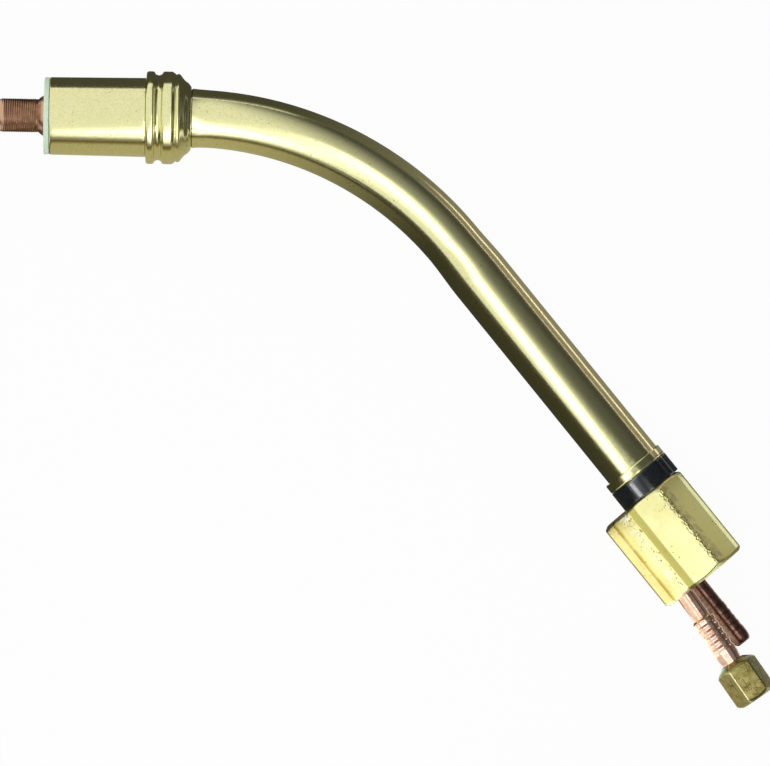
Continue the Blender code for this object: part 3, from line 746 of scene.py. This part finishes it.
def nick(angle, station):
    """How deep the nearest long corner is battered at a place on the block."""
    corner = round((angle - math.pi / 8) / (math.pi / 4))
    near = 1 - abs(angle - math.pi / 8 - corner * math.pi / 4) / 0.06
    if near <= 0:
        return 0
    broad = bumps((corner * 7.3, station * 1300, angle * 40), 0.05, 0.00060)
    fine = bumps((corner * 3.1 + 50, station * 3400, angle * 110), 0.15, 0.00050)
    return near * (broad + fine) * (1 if corner == BATTERED_CORNER else 0.3)


def scuff(angle, station):
    """How deep the scuffed strip is dented at a place on the block."""
    low, high = SCUFFED_ANGLES
    share = min(1, max(0, (angle - low) / 0.03)) * min(1, max(0, (high - angle) / 0.03))
    return share * bumps((station * 1100, angle * 40, 4.2), 0.12, 0.00022) if share > 0 else 0


def chamfered(face, front_cone, rear_cone, depth, reach):
    """The radius of a bar under two end cones. The edges between cone and face are sunk by up to depth."""
    cone = np.minimum(front_cone, rear_cone)
    near = np.clip(1 - np.abs(cone - face) / reach, 0, 1)
    return np.minimum(face, cone) - depth * near**2


def make_block():
    """The octagonal block: chamfered ends, worn long corners, and a stepped bore off its middle."""
    angle = turn_angles(480)
    face = np.array([
        min(
            bar_radius(a, 8, BLOCK_FLATS, BLOCK_CORNER),
            *(plane_cut(a, math.radians(normal), reach) for normal, reach in RUBBED_FLATS),
        )
        for a in angle
    ])
    fine_end, fine_start = BLOCK_FINE_ROWS
    stations = np.concatenate([
        np.arange(0, fine_end, 0.00014),
        np.arange(fine_end, fine_start, 0.00026),
        np.arange(fine_start, BLOCK_LENGTH, 0.00014),
        [BLOCK_LENGTH],
    ])
    stations = np.unique(np.round(stations, 6))
    front_flat = BLOCK_FLATS / 2 - 0.0002 - 0.0012 * np.sin(angle[:, None]) ** 4
    rear_flat = BLOCK_FLATS / 2 - 0.0010
    front_cone = front_flat + stations / BLOCK_CHAMFER_SLOPE
    rear_cone = rear_flat + (BLOCK_LENGTH - stations) / BLOCK_CHAMFER_SLOPE
    wear = np.array([[nick(a, s) + scuff(a, s) for s in stations] for a in angle])
    radius = chamfered(face[:, None], front_cone, rear_cone, depth=0.00018, reach=0.0006) - wear
    outside = rings(angle, stations, radius)
    outside[..., 1] -= BLOCK_OFFSET
    grid = np.concatenate([outside, rings(angle, *np.array(BLOCK_BORES).T)], axis=1)
    grid[..., 2] += BLOCK_START
    return shell("octagon_block", grid, REAR, "neck", "connector_block", sharp=35, girth=BLOCK_GIRTH)


dress(make_block(), BLOCK_BRASS)

# ---------------------------------------------------------------- nipples, cone seat and liner guide

NIPPLE_START = -0.0010
NIPPLE_RADIUS = 0.0029
NIPPLE_BORE = 0.0016
GRIP_START = 0.0113
RING_PITCH = 0.0021
POWER_END = 0.0350
TAPER_RADIUS = 0.00325
TAPER_END = 0.0293
NOSE_RADIUS = 0.0024
SUPPLY_END = 0.0239
CONE_START = 0.0296
CONE_BORE = 0.00255
GUIDE_START = 0.1202
GUIDE_END = 0.1232


def grip(crest, count, groove_depth, nose):
    """Outline of a hose nipple: a plain root, rings that grip the hose, and a nose."""
    groove = crest - groove_depth
    line = [(NIPPLE_START, NIPPLE_RADIUS), (0.0092, NIPPLE_RADIUS), (0.0098, crest), (GRIP_START, crest)]
    for number in range(count):
        foot = GRIP_START + number * RING_PITCH
        line += [(foot + 0.0006, groove), (foot + 0.0010, groove), (foot + 0.00165, crest)]
    end = GRIP_START + count * RING_PITCH
    return [*line, (end, crest), *nose(end)]


def power_nose(start):
    """A taper to a plain length, and a thin end inside the nut."""
    return [
        (start + 0.0042, TAPER_RADIUS), (TAPER_END, TAPER_RADIUS), (TAPER_END, NOSE_RADIUS),
        (POWER_END, NOSE_RADIUS),
    ]


def supply_nose(start):
    """A blunt rounded end."""
    steps = np.linspace(0, 1, 8)[1:]
    return [(start + 0.0012 + 0.0030 * t, 0.0019 + 0.00112 * math.sqrt(1 - t**2.2)) for t in steps]


dress(
    lathe(
        "power_hose_nipple",
        grip(crest=0.0038, count=5, groove_depth=0.00034, nose=power_nose),
        [(POWER_END, NIPPLE_BORE), (NIPPLE_START, NIPPLE_BORE)],
        POWER, "neck", "power_nipple", turns=80, edge=0.00025, spacing=0.0004,
    ),
    COPPER,
)
dress(
    lathe(
        "supply_hose_nipple",
        grip(crest=0.00305, count=4, groove_depth=0.00016, nose=supply_nose),
        [(SUPPLY_END, NIPPLE_BORE), (NIPPLE_START, NIPPLE_BORE)],
        SUPPLY, "neck", "supply_nipple", turns=80, edge=0.00025, spacing=0.0004,
    ),
    # the lower nipple's copper is darkened as painted shade
    SHADED_COPPER,
)
dress(
    lathe(
        "hose_cone",
        [(CONE_START, 0.0043), (CONE_START + 0.0020, 0.0043), (POWER_END, 0.0031)],
        [(POWER_END, CONE_BORE), (CONE_START, CONE_BORE)],
        POWER, "neck", "cone_seat", turns=64,
    ),
    NUT_BRASS,
)
dress(
    lathe(
        "wire_guide",
        [(GUIDE_START, 0.0047), (GUIDE_END, 0.0047)],
        [(GUIDE_END, 0.0040), (0.12095, WIRE_WAY_RADIUS), (GUIDE_START, WIRE_WAY_RADIUS)],
        REAR, "neck", "liner_guide", turns=64,
    ),
    GUIDE_BRASS,
)

# ---------------------------------------------------------------- union nut

NUT_START = 0.0260
NUT_LENGTH = 0.0139
NUT_FLATS = 0.0122
NUT_CORNER = 0.0005
NUT_TURN = math.radians(53.6)
NUT_GIRTH = 0.036
NUT_BORE = 0.0046
NUT_COLLAR_BORE = 0.00365
NUT_CHAMFER_SLOPE = math.tan(math.radians(32))
NUT_FRONT_FLAT = 0.00385
NUT_REAR_FLAT = 0.0054
NUT_BORES = [
    (NUT_LENGTH, NUT_BORE + 0.0002), (NUT_LENGTH - 0.0003, NUT_BORE), (0.0033, NUT_BORE),
    (0.0033, NUT_COLLAR_BORE), (0.0002, NUT_COLLAR_BORE), (0, NUT_COLLAR_BORE + 0.00015),
]


def make_nut():
    """The union nut: a hexagon with lathe-cut ends, softened corners and a stepped round bore."""
    angle = turn_angles(360)
    face = np.array([bar_radius(a, 6, NUT_FLATS, NUT_CORNER, NUT_TURN) for a in angle])[:, None]
    stations = np.concatenate([
        np.arange(0, 0.0032, 0.0001),
        np.arange(0.0032, 0.0121, 0.0004),
        np.arange(0.0121, NUT_LENGTH, 0.0001),
        [NUT_LENGTH],
    ])
    front_cone = NUT_FRONT_FLAT + stations / NUT_CHAMFER_SLOPE
    rear_cone = NUT_REAR_FLAT + (NUT_LENGTH - stations) / NUT_CHAMFER_SLOPE
    radius = chamfered(face, front_cone, rear_cone, depth=0.00025, reach=0.0010)
    grid = np.concatenate([rings(angle, stations, radius), rings(angle, *np.array(NUT_BORES).T)], axis=1)
    grid[..., 2] += NUT_START
    return shell("hex_union_nut", grid, POWER, "nut", "union_nut", sharp=35, girth=NUT_GIRTH)


dress(make_nut(), NUT_BRASS)

# ---------------------------------------------------------------- inner pieces, which keep their CAD meshes

for node, material in (
    ("core_tube", TUBE_COPPER),
    ("divider_tube", TUBE_COPPER),
    ("conduit_tube", TUBE_COPPER),
    ("insulating_sleeve", SLEEVE_PLASTIC),
    ("front_seal", RUBBER),
    ("rear_seal", RUBBER),
):
    dress(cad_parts[node], material)

# ---------------------------------------------------------------- floor and light panel


def add_stage(name, points, faces, paint, uvs=None):
    mesh = bpy.data.meshes.new(name)
    mesh.from_pydata([tuple(p) for p in points], [], faces)
    if uvs:
        mesh.uv_layers.new(name="UVMap").data.foreach_set("uv", np.asarray(uvs, np.float32).ravel())
    mesh.materials.append(paint.material)
    piece = bpy.data.objects.new(name, mesh)
    bpy.context.scene.collection.objects.link(piece)
    return piece


def glow(name, level, cover=None):
    """A paint that only gives off light. Level and cover build its colour and its opacity."""
    paint = Paint(name, (0, 0, 0), 1, 0)
    emission = paint.new("Emission")
    paint.link(level(paint), emission, "Color")
    if cover:
        paint.mix_shaders(cover(paint), paint.new("BsdfTransparent"), emission)
    else:
        paint.tree.links.new(emission.outputs[0], paint.surface)
    return paint


FLOOR_SIZE = 9
FLOOR_HEIGHT = -0.0001
FLOOR_LEVEL = 1
FLOOR_SEEN_PLAIN = 0.96


def make_floor():
    """A white floor. Camera, glossy and transmission rays see a plain level and a trace of shadow."""
    paint = Paint("floor", (0.80, 0.80, 0.80), 0.9, 0)
    cloud = paint.band(paint.noise(3, detail=2), 0.3, 0.7)
    paint.colour(paint.mix(cloud, (0.80, 0.80, 0.80), (0.78, 0.78, 0.78)))
    paint.set(paint.shader, "Specular IOR Level", 0)
    path = paint.new("LightPath").outputs
    seen = paint.add(path["Is Camera Ray"], path["Is Transmission Ray"], path["Is Glossy Ray"])
    seen = paint.math("MINIMUM", seen, 1)
    emission = paint.new("Emission")
    paint.set(emission, "Strength", FLOOR_LEVEL)
    paint.mix_shaders(paint.times(seen, FLOOR_SEEN_PLAIN), paint.shader, emission)
    size = FLOOR_SIZE
    points = [(x, y, FLOOR_HEIGHT) for x, y in ((-size, -size), (size, -size), (size, size), (-size, size))]
    add_stage("floor", points, [(0, 1, 2, 3)], paint)


PANEL_SIZE = 2.2
PANEL_HEIGHT = 0.255


def panel_level(paint):
    """Bright on the left with a hot middle, dim on the right, with small lamps over the rear end."""
    x, y, _ = paint.axes()

    def falling(start, scale):
        """1 up to a start in X, then an exponential fall."""
        past = paint.math("MAXIMUM", paint.math("SUBTRACT", x, start), 0)
        return paint.math("EXPONENT", paint.math("DIVIDE", past, paint.math("MULTIPLY", scale, -1)))

    def skewed(x_share, y_share):
        return paint.add(paint.times(x, x_share), paint.times(y, y_share))

    # Places square to the tail and along it, from the block's middle
    across = skewed(math.sin(BEND), math.cos(BEND))
    along = skewed(math.cos(BEND), -math.sin(BEND))

    corner_line = paint.add(skewed(0.874, 0.486), 0.371)
    corner = paint.times(paint.band(corner_line, 0.04, -0.04), paint.band(y, -0.04, -0.14))
    tent = falling(-0.12, paint.band(y, 0.05, 0.25, 0.055, 0.10))
    tent = paint.times(tent, paint.opposite(corner), 0.85)

    hot_edge = paint.band(skewed(1, -0.4), -0.18, -0.145)
    off_block = paint.opposite(paint.window(along, -0.0185, 0.022, 0.004))
    hot_part = paint.times(hot_edge, paint.window(y, -0.13, 0.165, 0.035), off_block)
    hot = paint.times(falling(-0.085, 0.03), hot_part, 1.8)

    over_block = paint.times(
        paint.window(across, -0.016, 0.045, 0.012), paint.window(along, -0.008, 0.13, 0.010), 2.2
    )
    over_nipples = paint.times(
        paint.window(across, -0.30, -0.03, 0.015), paint.window(along, 0.027, 0.13, 0.006), 1.5
    )
    in_black_ring = paint.times(
        paint.window(across, -0.27, -0.165, 0.03), paint.window(along, -0.0162, -0.0088, 0.0008), 7
    )
    dim = paint.add(paint.times(paint.band(along, 0.022, 0.032), 0.2), 0.055)
    return paint.add(dim, tent, hot, over_block, over_nipples, in_black_ring)


def make_panel():
    size = PANEL_SIZE
    points = [(x, y, PANEL_HEIGHT) for x, y in ((-size, -size), (-size, size), (size, size), (size, -size))]
    panel = add_stage("light_panel", points, [(0, 1, 2, 3)], glow("panel_light", panel_level))
    panel.visible_camera = False
    panel.visible_shadow = False


# ---------------------------------------------------------------- cards that only reflections show


def mirrored_only(piece):
    piece.visible_camera = False
    piece.visible_diffuse = False
    piece.visible_transmission = False
    piece.visible_volume_scatter = False
    piece.visible_shadow = False


def card_point(station, side, reach, height):
    centre, turn = neck_point(station)
    aside = Vector((math.sin(turn), math.cos(turn), 0)) * side * reach
    return START + centre + aside + Vector((0, 0, height - START.z))


FOOT_HEIGHTS = (0.0004, 0.0005)
CARD_STEP = 0.002
INNER = -1
OUTER = 1
FRONT_END = -0.066
BLOCK_FRONT = BEND_LENGTH + 0.0985
BLOCK_REAR = BEND_LENGTH + 0.134
BEHIND_NUT = BEND_LENGTH + 0.178


def make_card(name, side, span, reach, top, level, cover=None):
    """A card beside the neck: a flat foot below it, then up and away to its top.

    Reach says how far the foot's two edges and the top are from the neck's axis. Top is a height, or a
    function of the station that gives one. UV X is the station. UV Y runs from 0 to 1 up the card, and is
    below 0 on the foot.
    """
    start, end = span
    stations = [float(s) for s in np.linspace(start, end, round((end - start) / CARD_STEP) + 1)]
    points = []
    for station in stations:
        high = top(station) if callable(top) else top
        points += [card_point(station, side, *edge) for edge in zip(reach, (*FOOT_HEIGHTS, high))]
    faces = []
    uvs = []
    for i, (a, b) in enumerate(zip(stations, stations[1:])):
        for k, (low, high) in enumerate(((-0.5, 0), (0, 1))):
            j = 3 * i + k
            faces.append((j, j + 1, j + 4, j + 3))
            uvs += [(a, low), (a, high), (b, high), (b, low)]
    mirrored_only(add_stage(name, points, faces, glow(name, level, cover), uvs))


def mottled(a, b):
    """The level of a plain card, between two near tones."""
    return lambda paint: paint.mix(paint.noise(20, detail=2), a, b)


def inner_level(paint):
    """Olive low down, darker towards the tail and before the front end, and brown above."""
    station, height, _ = paint.axes(uv=True)
    low = paint.mix(paint.band(station, 0, 0.095), (0.46, 0.42, 0.29), (0.045, 0.043, 0.03))
    low = paint.mix(paint.band(station, -0.046, -0.048), low, (0.12, 0.10, 0.08))
    high = paint.mix(paint.band(station, 0, 0.06), (0.15, 0.095, 0.022), (0.05, 0.04, 0.02))
    return paint.mix(paint.band(height, 0.52, 0.80), low, high)


def outer_level(paint):
    """Dark beside the front, greyer beside the tail, with two thin pale edges along the tail."""
    station, height, _ = paint.axes(uv=True)
    ground = paint.mix(paint.band(station, 0.02, 0.11), (0.065, 0.062, 0.05), (0.26, 0.25, 0.22))
    rim = paint.times(paint.band(height, 0.95, 0.99), paint.band(station, 0, 0.03))
    ground = paint.mix(rim, ground, (0.08, 0.08, 0.07))
    at_ring = paint.band(station, BEND_LENGTH + 0.0912, BEND_LENGTH + 0.0922)
    ground = paint.mix(at_ring, ground, (0.06, 0.06, 0.055))
    lower = paint.band(paint.distance(height, 0.309), 0.042, 0.022)
    upper = paint.band(paint.distance(height, 0.759), 0.05, 0.03)
    edges = paint.times(paint.either(lower, upper), paint.band(station, 0.070, 0.090))
    return paint.mix(edges, ground, paint.mix(at_ring, (1.8, 1.45, 1.55), (0.5, 0.5, 0.5)))


def outer_cover(paint):
    """The card's upper part thins out along the bend."""
    station, height, _ = paint.axes(uv=True)
    return paint.opposite(paint.times(paint.band(station, 0, 0.035), paint.band(height, 0.6, 1.0)))


BESIDE_RINGS = [BEND_LENGTH + s for s in (0.1350, 0.1375, 0.1525, 0.1545)]


def rear_inner_level(paint):
    """Brightest beside the power nipple's rings."""
    beside_rings = paint.zone(paint.axes(uv=True)[0], *BESIDE_RINGS)
    ground = mottled((0.95, 0.90, 0.82), (0.84, 0.79, 0.72))(paint)
    return paint.mix(beside_rings, ground, (1.40, 1.70, 1.62))


def rising(low, high, reach):
    """A card's top that rises from low to high over a reach behind the start of the bend."""
    return lambda station: low + (high - low) * min(1, max(0, station / reach))


def make_side_card():
    """A far grey card to the right, for the block's end and the nut."""
    x = 0.40
    points = [(x, -1.0, 0), (x, 2.0, 0), (x, 2.0, 0.26), (x, -1.0, 0.26)]
    grey = glow("side_card", lambda paint: paint.band(paint.noise(4, detail=2), 0.3, 0.7, 0.06, 0.08))
    mirrored_only(add_stage("side_card", points, [(0, 1, 2, 3)], grey))


def make_cards():
    neck = (FRONT_END, BEND_LENGTH + 0.1000)
    block = (BLOCK_FRONT, BLOCK_REAR)
    rear = (BLOCK_REAR - 0.0005, BEHIND_NUT)
    beside_neck = (0.009, 0.018, 0.062)
    flat = 0.0006
    block_tones = mottled((1.26, 1.17, 0.92), (1.20, 1.12, 0.88))
    edge_tones = mottled((0.15, 0.14, 0.09), (0.10, 0.10, 0.06))
    rear_edge_tones = mottled((0.14, 0.09, 0.06), (0.09, 0.06, 0.04))
    rear_outer_tones = mottled((0.20, 0.18, 0.15), (0.16, 0.15, 0.12))
    make_card("inner_card", INNER, neck, beside_neck, rising(0.0385, 0.042, 0.03), inner_level)
    make_card("outer_card", OUTER, neck, beside_neck, rising(0.0215, 0.034, 0.06), outer_level, outer_cover)
    make_card("rear_inner_card", INNER, rear, (0.021, 0.022, 0.085), 0.060, rear_inner_level)
    make_card("rear_outer_card", OUTER, rear, (0.011, 0.012, 0.050), 0.030, rear_outer_tones)
    make_card("rear_edge", INNER, rear, (0.002, 0.010, 0.0215), flat, rear_edge_tones)
    make_card("block_card", INNER, block, (0.051, 0.052, 0.066), 0.062, block_tones)
    make_card("block_inner_edge", INNER, block, (0.015, 0.030, 0.040), flat, edge_tones)
    make_card("block_outer_edge", OUTER, block, (0.007, 0.020, 0.031), flat, edge_tones)
    make_side_card()


# ---------------------------------------------------------------- world and camera

WORLD_COLOUR = (0.95, 0.95, 0.95, 1)
SENSOR_WIDTH = 36
PHOTO_WIDTH = 770
PIXEL_SIZE = 0.000315
CAMERA_DISTANCE = 3.6
CAMERA_ROLL = math.radians(1.0)
VIEW_CENTRE = START + Vector((0.0624, -0.0823, 0))


def make_world():
    world = bpy.data.worlds.new("studio")
    world.use_nodes = True
    world.node_tree.nodes["Background"].inputs["Color"].default_value = WORLD_COLOUR
    bpy.context.scene.world = world


def make_camera():
    """Looks straight down from far away. In the plane of the neck's axis a pixel shows PIXEL_SIZE."""
    data = bpy.data.cameras.new("camera")
    data.lens = SENSOR_WIDTH * CAMERA_DISTANCE / (PHOTO_WIDTH * PIXEL_SIZE)
    data.sensor_width = SENSOR_WIDTH
    data.clip_end = 40
    camera = bpy.data.objects.new("camera", data)
    bpy.context.scene.collection.objects.link(camera)
    camera.location = VIEW_CENTRE + Vector((0, 0, CAMERA_DISTANCE))
    camera.rotation_euler = (0, 0, CAMERA_ROLL)
    bpy.context.scene.camera = camera


make_floor()
make_panel()
make_cards()
make_world()
make_camera()
bpy.context.scene.view_settings.view_transform = "Standard"
